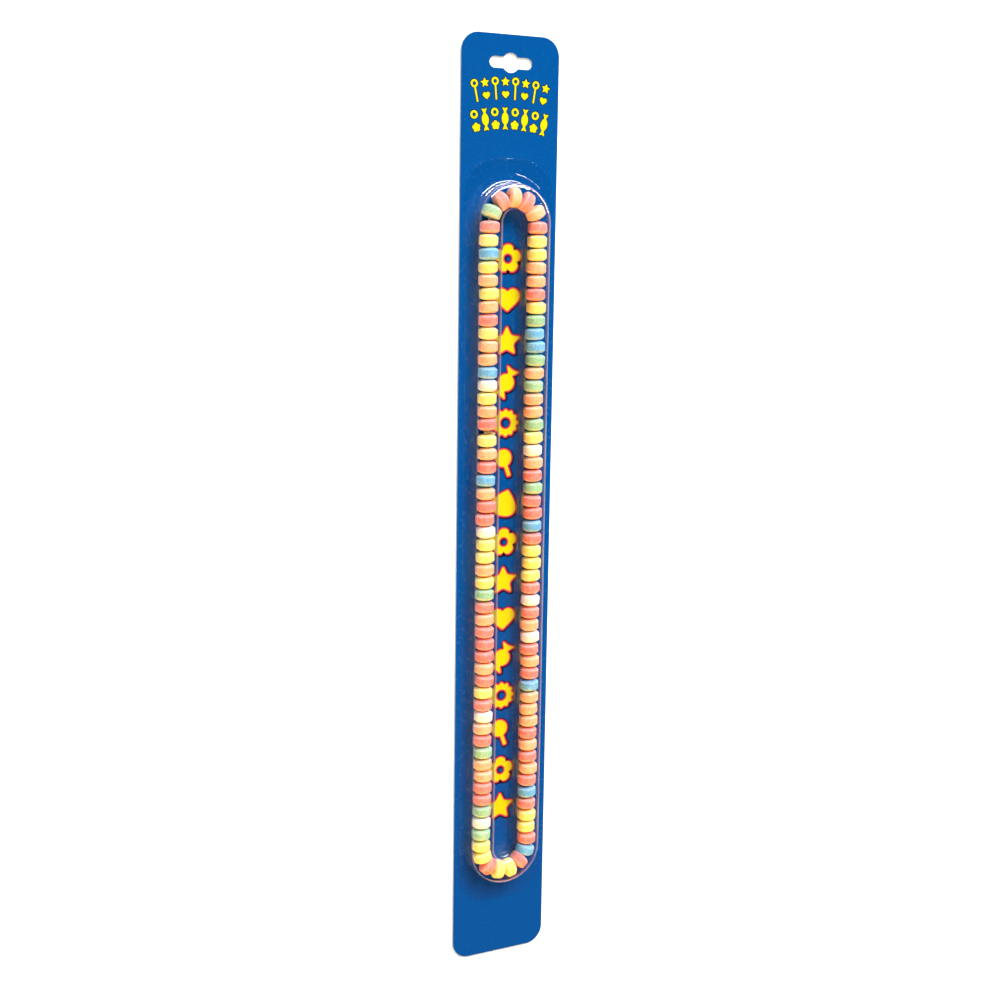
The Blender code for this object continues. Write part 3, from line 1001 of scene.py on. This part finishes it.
def candy(name, colour, deep, pale):
    """Pressed sugar: three tones of a colour, mixed by mottle, streaks, specks, a random shade for
    each bead, and a pale share: real edge wear, a painted highlight on the bevels and a painted
    reflection on the upper turn.
    """
    material, tree, shader = new_material(name)
    where = place_of(tree)
    mottle = remap(tree, noise(tree, where, 800.0, 4.0, 0.7), 0.36, 0.64)
    shade = attribute(tree, "shade")
    tone = calculate(tree, "ADD", times(tree, mottle, 0.65), times(tree, shade, 0.35))
    base = blend(tree, tone, deep, colour)
    streaks = noise(tree, attribute(tree, "grain", "Vector"), 1300.0, 4.0, 0.6)
    streak = remap(tree, streaks, 0.46, 0.72)
    speck = remap(tree, noise(tree, where, 2600.0, 2.0, 0.6), 0.58, 0.72)
    pale_share = calculate(tree, "MAXIMUM", times(tree, streak, 0.65), times(tree, speck, 0.5))
    base = blend(tree, pale_share, base, pale)
    # The pale share is real dust on rubbed edges and chips, with a painted highlight on the bevels
    # and a painted reflection on the upper turn.
    patches = remap(tree, noise(tree, where, 1300.0), 0.25, 0.6)
    dust_and_painted_light = times(tree, attribute(tree, "wear_and_painted_light"), patches)
    base = blend(tree, times(tree, dust_and_painted_light, 0.85), base, pale)
    dullness = remap(tree, mottle, 0.0, 1.0, 0.50, 0.66)
    grain = noise(tree, where, 2600.0, 4.0, 0.7)
    grain = calculate(tree, "ADD", grain, times(tree, streak, 0.4))
    grainy = bumped(tree, grain, 0.00014)
    set_inputs(tree, shader, {"Base Color": base, "Roughness": dullness, "Normal": grainy})
    set_inputs(tree, shader, {"Specular IOR Level": 0.3})
    set_inputs(tree, shader, scattering(0.6, (1.0, 0.42, 0.16), 0.0016))
    return material


CANDIES = {
    "P": ("pink", (244, 140, 136), (234, 112, 106), (255, 222, 222)),
    "O": ("orange", (255, 194, 158), (252, 168, 114), (255, 240, 226)),
    "Y": ("yellow", (255, 242, 144), (253, 224, 92), (255, 253, 226)),
    "G": ("green", (154, 214, 184), (124, 193, 146), (226, 245, 228)),
    "B": ("blue", (104, 194, 250), (72, 166, 232), (208, 235, 253)),
    "W": ("white", (250, 248, 248), (242, 236, 232), (255, 254, 254)),
}
letters = np.array(list(BEAD_ORDER))
one_bead = grid_quads(AROUND, len(full_profile()), close_rows=True, close_columns=True)
bead_pieces = []
for letter, (word, colour, deep, pale) in CANDIES.items():
    chosen = letters == letter
    count = int(chosen.sum())
    points = bead_points[chosen]
    per_bead = points.shape[1] * points.shape[2]
    quads = one_bead[None] + per_bead * np.arange(count)[:, None, None]
    material = candy("candy_" + word, linear(*colour), linear(*deep), linear(*pale))
    beads = make_piece("beads_" + word, points, quads.reshape(-1, 4), [material], sharp=60.0)
    add_values(beads, "shade", np.repeat(bead_shade[chosen], per_bead))
    add_values(beads, "wear_and_painted_light", bead_wear_and_painted_light[chosen])
    add_places(beads, "grain", bead_grain[chosen])
    bead_pieces.append(settle(beads, "pressed_candy", "candy_beads"))

# %% [markdown]
# ## The elastic
#
# A soft round elastic runs through every bead and is tied where the left column has a gap. The
# thread is a tube along the strand's own line, moved sideways with the beads. The knot is a tube
# along a three-lobed closed curve drawn tight round the thread, and two cut ends stick out of it.

# %% Tubes along a line of points
THREAD_SIDES = 12
THREAD_RADIUS, KNOT_THREAD_RADIUS, TAIL_RADIUS = 0.0012, 0.00085, 0.0007


def tube(path, radius, closed=False, start_across=(0.0, 0.0, 1.0)):
    """Points and faces of a round tube: at each point of the path a circle across its direction.

    The circle's first axis is a fixed direction with its part along the path taken out, so that the
    tube doesn't twist. An open tube is closed by two flat ends.
    """
    path = np.asarray(path, dtype=float)
    if closed:
        along = np.roll(path, -1, axis=0) - np.roll(path, 1, axis=0)
    else:
        along = np.gradient(path, axis=0)
    along /= np.linalg.norm(along, axis=1)[:, None]
    first = np.asarray(start_across) - (along @ np.asarray(start_across))[:, None] * along
    first /= np.linalg.norm(first, axis=1)[:, None]
    second = np.cross(along, first)
    angle = np.linspace(0, 2 * np.pi, THREAD_SIDES, endpoint=False)[None, :, None]
    circle = np.cos(angle) * first[:, None] + np.sin(angle) * second[:, None]
    points = path[:, None] + radius * circle
    quads = grid_quads(len(path), THREAD_SIDES, close_rows=closed, close_columns=True).tolist()
    if not closed:
        last = THREAD_SIDES * (len(path) - 1)
        quads.append(list(range(THREAD_SIDES))[::-1])
        quads.append([last + k for k in range(THREAD_SIDES)])
    return points.reshape(-1, 3), quads, [0] * len(quads)


# %% Elastic material
def elastic_material():
    """Covered elastic: translucent tan rubber with fine lengthwise threads and a soft sheen."""
    material, tree, shader = new_material("elastic_thread")
    where = place_of(tree)
    drawn_out = stretched(tree, where, 1.0, 0.12, 1.0)
    threads = remap(tree, noise(tree, drawn_out, 5200.0, 2.0), 0.35, 0.65)
    tan = blend(tree, threads, linear(206, 182, 122), linear(238, 222, 176))
    ribbed = bumped(tree, threads, 0.00008)
    set_inputs(tree, shader, {"Base Color": tan, "Roughness": 0.45, "Normal": ribbed})
    set_inputs(tree, shader, scattering(0.35, (1.0, 0.8, 0.5), 0.001))
    return material


# %% Thread, knot and tails
THREAD_STEP = 0.0015
KNOT_LOBE, KNOT_LENGTH = 0.00052, 0.00045
TAILS = ((0.0062, 0.0006, -0.0014), (0.0034, 0.0022, 0.0003))
KNOT_STEPS, TAIL_STEPS = 90, 12


def thread_path():
    """The strand's line moved sideways by the beads' shifts, smoothly from one bead to the next."""
    steps = int(LOOP_LENGTH / THREAD_STEP)
    at = np.linspace(0, LOOP_LENGTH, steps, endpoint=False)
    ring = np.mod(PLACES, LOOP_LENGTH)
    order = np.argsort(ring)
    shift = np.interp(at, ring[order], side_shift[order], period=LOOP_LENGTH)
    rise = np.interp(at, ring[order], rise_shift[order], period=LOOP_LENGTH)
    plan, heading = strand(at)
    sideways = np.stack([-np.sin(heading), np.cos(heading)], axis=-1)
    return np.column_stack([plan + shift[:, None] * sideways, BEAD_HEIGHT + rise])


def knot_centre():
    """The middle of the gap in the left column."""
    upper = strand(PLACES[-1] + BEAD_THICKNESS / 2)[0][1]
    lower = strand(PLACES[0] - BEAD_THICKNESS / 2)[0][1]
    return np.array([-LOOP_RADIUS, (upper + lower) / 2, BEAD_HEIGHT])


def knot_path(centre):
    """A trefoil about the Y axis: sines and cosines of once, twice and three times the angle."""
    t = np.linspace(0, 2 * np.pi, KNOT_STEPS, endpoint=False)
    x = KNOT_LOBE * (np.sin(t) + 2 * np.sin(2 * t))
    z = KNOT_LOBE * (np.cos(t) - 2 * np.cos(2 * t))
    y = -KNOT_LENGTH * np.sin(3 * t)
    return centre + np.column_stack([x, y, z])


def tail_path(centre, reach, lift, sag):
    """A short end that leaves the knot to the right and bends as it goes."""
    t = np.linspace(0, 1, TAIL_STEPS)[:, None]
    return centre + t * np.array([reach, 0, lift]) + t**2 * np.array([0, sag, 0])


centre = knot_centre()
elastic_parts = [
    tube(thread_path(), THREAD_RADIUS, closed=True),
    tube(knot_path(centre), KNOT_THREAD_RADIUS, closed=True, start_across=(0.0, 1.0, 0.0)),
]
elastic_parts += [tube(tail_path(centre, *tail), TAIL_RADIUS) for tail in TAILS]
points, faces, _ = gathered(elastic_parts)
elastic = make_piece("elastic", points, faces, [elastic_material()])
settle(elastic, "elastic_thread", "elastic")

# %% [markdown]
# ## The blister
#
# One sheet of clear film, sucked warm over a mould. The section is the same all round the loop:
# from the flat flange a small fillet turns up into a wall that leans by its draft, a tight
# shoulder turns into a wide crown over the beads, and the same again down to the flat island
# inside the loop. The section's points are carried round the loop as rings, which move inwards or
# outwards by each point's distance from the loop's line. The mould's walls have a ledge and its
# flange a low ridge, which stiffen the sheet. The sheet has an outer and an inner skin, a wall's
# thickness apart, and the inner one is plain.

# %% Blister section
TURN_STEPS, SIDE_STEPS, CROWN_STEPS, SHOULDER_STEPS, FILLET_STEPS = 56, 24, 20, 10, 10
FLANGE_TOP = CARD_THICKNESS + CLEARANCE + BLISTER_WALL
RIM_MARGIN = 0.0005
SHOULDER_Z, SHOULDER_HALF = 0.0122, 0.0020
LINE_DRAW = 0.05
WALL_STEPS, LEDGE_AT, LEDGE_SOFTNESS, LEDGE_SHARE = 60, 0.45, 0.025, 0.90
RIDGE_AT, RIDGE_BEYOND, RIDGE_HALF = 0.0148, 0.0012, 0.00080
RIDGE_HEIGHT, RIDGE_STEPS = 0.00045, 8
RIDGE_LOW, RIDGE_PEAK, RIDGE_SPREAD = 0.5, np.radians(62), np.radians(20)
RIM_ROUND, RIM_STEPS = 0.00022, 4


def stepped(foot, meet, ledge_share):
    """The wall between two points: two upright stretches with a sloping ledge, its corners rounded.

    Heights rise evenly. The distance shrinks by a smooth step at the ledge and by a straight line
    for the rest.
    """
    t = np.linspace(0, 1, WALL_STEPS + 1 if ledge_share else 3)[1:]
    ledge = 1 / (1 + np.exp(-(t - LEDGE_AT) / LEDGE_SOFTNESS))
    ledge = (ledge - ledge[0]) / (ledge[-1] - ledge[0])
    share = ledge_share * ledge + (1 - ledge_share) * t
    return foot + (meet - foot) * np.column_stack([share, t])


def drafted_side(draft, ledge_share):
    """Distances and heights up one side: the fillet's arc from the flange, the wall, the shoulder.

    The shoulder's arc touches the crown's from inside and turns down to the wall's draft angle.
    """
    end = np.array([np.cos(CROWN_END), np.sin(CROWN_END)])
    centre = (CROWN_RADIUS - SHOULDER_RADIUS) * end + (0, ROOF_TOP - CROWN_RADIUS)
    from_angle, to_angle = np.degrees(draft), np.degrees(CROWN_END)
    shoulder = arc(centre, SHOULDER_RADIUS, from_angle, to_angle, SHOULDER_STEPS)
    meet = shoulder[0]
    centre_z = FLANGE_TOP + FILLET
    foot_z = centre_z - FILLET * np.sin(draft)
    foot_x = meet[0] + (meet[1] - foot_z) * np.tan(draft)
    centre_x = foot_x + FILLET * np.cos(draft)
    roll = arc((centre_x, centre_z), FILLET, 270, 180 + from_angle, FILLET_STEPS)
    wall = stepped(roll[-1], meet, ledge_share)
    foot = roll[:1] + (RIM_MARGIN, 0.0)
    return np.vstack([foot, roll, wall, shoulder[1:]])


def channel_section(ledge_share):
    """The outer skin's section from outside the loop to inside it."""
    outside = drafted_side(OUTER_DRAFT, ledge_share)
    inside = drafted_side(INNER_DRAFT, ledge_share) * (-1, 1)
    end = np.degrees(CROWN_END)
    crown = arc((0, ROOF_TOP - CROWN_RADIUS), CROWN_RADIUS, end, 180 - end, CROWN_STEPS)
    return np.vstack([outside[:-1], crown, inside[-2::-1]])


def thinned(section):
    """The section moved inwards by the wall's thickness, along the mean of two edges' normals."""
    edge = np.diff(section, axis=0)
    normal = np.column_stack([-edge[:, 1], edge[:, 0]])
    normal /= np.linalg.norm(normal, axis=1)[:, None]
    flat = np.array([[0.0, -1.0]])
    before, after = np.vstack([flat, normal]), np.vstack([normal, flat])
    mean = before + after
    mean /= np.linalg.norm(mean, axis=1)[:, None]
    return section + mean * (BLISTER_WALL / np.sum(mean * before, axis=1))[:, None]


# %% Blister outlines


def with_sides(top, bottom):
    """The top and bottom arcs, joined by evenly spaced points down the left and up the right."""
    down = np.linspace(top[-1], bottom[0], SIDE_STEPS + 1)[1:-1]
    up = np.linspace(bottom[-1], top[0], SIDE_STEPS + 1)[1:-1]
    return np.concatenate([top, down, bottom, up])


def channel_outline(distance, beyond=TURN_BEYOND):
    """The loop moved outwards by a distance, with its turns moved a little further apart."""
    radius = LOOP_RADIUS + distance
    top = arc((0, TOP_TURN_Y + beyond), radius, 0, 180, TURN_STEPS)
    bottom = arc((0, BOTTOM_TURN_Y - beyond), radius, 180, 360, TURN_STEPS)
    return with_sides(top, bottom)


def ridge_rings():
    """A low ridge pressed into the flange round the channel: a squared cosine across it.

    It isn't equally high all round: a bell over the angle about the upper turn's centre raises it
    at the upper right.
    """
    rings = []
    for across in np.linspace(-1, 1, RIDGE_STEPS + 1):
        outline = channel_outline(RIDGE_AT + RIDGE_HALF * across, RIDGE_BEYOND)
        angle = np.arctan2(outline[:, 1] - TOP_TURN_Y, outline[:, 0])
        swell = RIDGE_LOW + (1 - RIDGE_LOW) * np.exp(-(((angle - RIDGE_PEAK) / RIDGE_SPREAD) ** 2))
        lift = RIDGE_HEIGHT * swell * np.cos(np.pi / 2 * across) ** 2
        rings.append(np.column_stack([outline, FLANGE_TOP + lift]))
    return rings


def flange_outline(inset=0.0):
    """A rectangle with large round corners, with as many points as the loop's outline."""
    angle = np.radians(np.linspace(0, 180, TURN_STEPS + 1))
    corner = FLANGE_CORNER - inset
    side = FLANGE_WIDTH / 2 - FLANGE_CORNER
    x = side * np.sign(np.round(np.cos(angle), 6)) + corner * np.cos(angle)
    y = TOP_TURN_Y + FLANGE_FROM_LOOP - FLANGE_CORNER + corner * np.sin(angle)
    top = np.column_stack([x, y])
    bottom = np.column_stack([-x, TOP_TURN_Y + BOTTOM_TURN_Y - y])
    return with_sides(top, bottom)


def along_section(section):
    """The distance of each point along the section from its first one."""
    return np.concatenate([[0], np.cumsum(np.linalg.norm(np.diff(section, axis=0), axis=1))])


def draw_lines(outer, inner, rings):
    """For each point its distance along the section and, much smaller, its place along the loop.

    A pattern on these is drawn out into long lines that run round the loop. The flange has none.
    """
    up, down = along_section(outer), along_section(inner)
    flat = np.full(len(rings) - len(outer) - len(inner), up[-1])
    distance = np.concatenate([up, flat, down])[:, None, None]
    around = np.stack(rings)[..., :2] * LINE_DRAW
    return np.concatenate([np.broadcast_to(distance, (*around.shape[:2], 1)), around], axis=-1)


def haze_and_highlight_shares(section):
    """Two shares for each point: a bell at the shoulders' height, and a whole one on the walls."""
    height = section[:, 1]
    shoulder = np.exp(-(((height - SHOULDER_Z) / SHOULDER_HALF) ** 2))
    wall = (height > FLANGE_TOP + FILLET / 2) & (height < SHOULDER_Z)
    return np.column_stack([shoulder, wall])


def rim_rings():
    """The flange's edge: a quarter circle from its top to its side, then down to its underside."""
    turn = np.linspace(0, np.pi / 2, RIM_STEPS + 1)
    inset, low = RIM_ROUND * (1 - np.sin(turn)), FLANGE_TOP - BLISTER_WALL
    height = FLANGE_TOP - RIM_ROUND * (1 - np.cos(turn))
    profile = [(RIM_MARGIN, FLANGE_TOP), *zip(inset, height), (0.0, low), (RIM_MARGIN, low)]
    return [raised(flange_outline(i), z) for i, z in profile]


def blister_piece(material):
    """The outer skin from the island to the rim, the inner skin back, the island's two faces."""
    outer = channel_section(LEDGE_SHARE)
    inner = thinned(channel_section(0.0))
    inner[:, 1] = np.maximum(inner[:, 1], FLANGE_TOP - BLISTER_WALL)
    rings = [raised(channel_outline(distance), z) for distance, z in outer[::-1]] + ridge_rings()
    rings += rim_rings()
    rings += [raised(channel_outline(distance), z) for distance, z in inner]
    count = len(rings[0])
    faces = grid_quads(len(rings), count, close_columns=True).tolist()
    first, last = rings[0][:, :2], rings[-1][:, :2]
    faces += filled([first], upwards=True).tolist()
    faces += (filled([last], upwards=False) + count * (len(rings) - 1)).tolist()
    piece = make_piece("blister", np.concatenate(rings), faces, [material], sharp=50.0)
    add_places(piece, "draw", draw_lines(outer[::-1], inner, rings))
    flat_rings = np.zeros((len(rings) - len(outer) - len(inner), 2))
    haze_and_highlight = np.concatenate([haze_and_highlight_shares(outer)[::-1], flat_rings, haze_and_highlight_shares(inner)])
    for name, share in zip(("shoulder", "wall"), haze_and_highlight.T):
        add_values(piece, name, np.repeat(share, count))
    return piece


# %% [markdown]
# The film is clear, so the shader is mostly a straight view through it, and a reflection on top
# whose share follows Fresnel's law: little from the front, much at a grazing angle. The straight
# view lets the lamps reach the beads. Light that has come in through one skin leaves through the
# other without a second reflection, which is why the share is set to nothing on a face's back. At
# a grazing angle the path through the film is long, so the tint is deeper there. Where the
# shoulders turn away, a pale violet diffuse veil is painted on them: a painted highlight for the
# bright line along the film's edges. The walls have a faint even haze.

# %% Clear film material


def clear_film():
    """Transparent and glossy, mixed by Fresnel on a face's front, with a painted highlight: a pale
    veil where the shoulders turn away.
    """
    material, tree, shader = new_material("clear_plastic")
    tree.nodes.remove(shader)
    where = place_of(tree)
    front = calculate(tree, "SUBTRACT", 1.0, add_node(tree, "NewGeometry").outputs["Backfacing"])
    lines = noise(tree, attribute(tree, "draw", "Vector"), 420.0, 2.0)
    ripple = bumped(tree, lines, 0.00005)
    bump = bumped(tree, noise(tree, where, 160.0, 2.0), 0.00002, Normal=ripple)
    share = add_node(tree, "Fresnel", {"IOR": 1.57, "Normal": bump}).outputs["Fac"]
    share = times(tree, share, front)
    facing = add_node(tree, "LayerWeight", {"Blend": 0.5}).outputs["Facing"]
    grazing = times(tree, calculate(tree, "POWER", facing, 6.0), front)
    tint = blend(tree, grazing, (0.998, 0.998, 0.998, 1.0), (0.80, 0.70, 0.88, 1.0))
    through = add_node(tree, "BsdfTransparent", {"Color": tint}).outputs["BSDF"]
    dullness = remap(tree, noise(tree, where, 500.0, 4.0), 0.3, 0.7, 0.03, 0.06)
    gloss = add_node(tree, "BsdfGlossy", {"Roughness": dullness, "Normal": bump}).outputs["BSDF"]
    clear = add_node(tree, "MixShader", {0: share, 1: through, 2: gloss}).outputs[0]
    # A painted highlight: a pale violet diffuse veil where the shoulders turn away, and a faint
    # haze on the walls.
    veil_and_painted_highlight = add_node(tree, "BsdfDiffuse", {"Color": linear(250, 226, 250)}).outputs["BSDF"]
    turned_away = remap(tree, facing, 0.40, 0.90, 0.0, 0.75)
    cover = times(tree, attribute(tree, "shoulder"), turned_away)
    cover = calculate(tree, "ADD", cover, times(tree, attribute(tree, "wall"), 0.03))
    cover = times(tree, cover, front)
    veiled = add_node(tree, "MixShader", {0: cover, 1: clear, 2: veil_and_painted_highlight}).outputs[0]
    set_inputs(tree, tree.nodes["Material Output"], {"Surface": veiled})
    return material


blister = settle(blister_piece(clear_film()), "clear_plastic", "blister")

# %% Which pieces each light reaches


def linked_to(light, pieces):
    """The light reaches these pieces alone."""
    collection = bpy.data.collections.new("reached_by_" + light.name)
    for piece in pieces:
        collection.objects.link(piece)
    light.light_linking.receiver_collection = collection
    print(light.name, "reaches", [piece.name for piece in pieces])


card_pieces = [hang_card, card_print_column, card_print_header]
linked_to(strip_light, [blister])
linked_to(end_light, [blister])
linked_to(low_panel, [blister, hang_card])
linked_to(card_key, card_pieces)
linked_to(card_fill, card_pieces)
linked_to(floor_fill, [floor])
linked_to(key_light, [floor, blister, elastic, *bead_pieces])
linked_to(warm_light, [elastic, *bead_pieces])
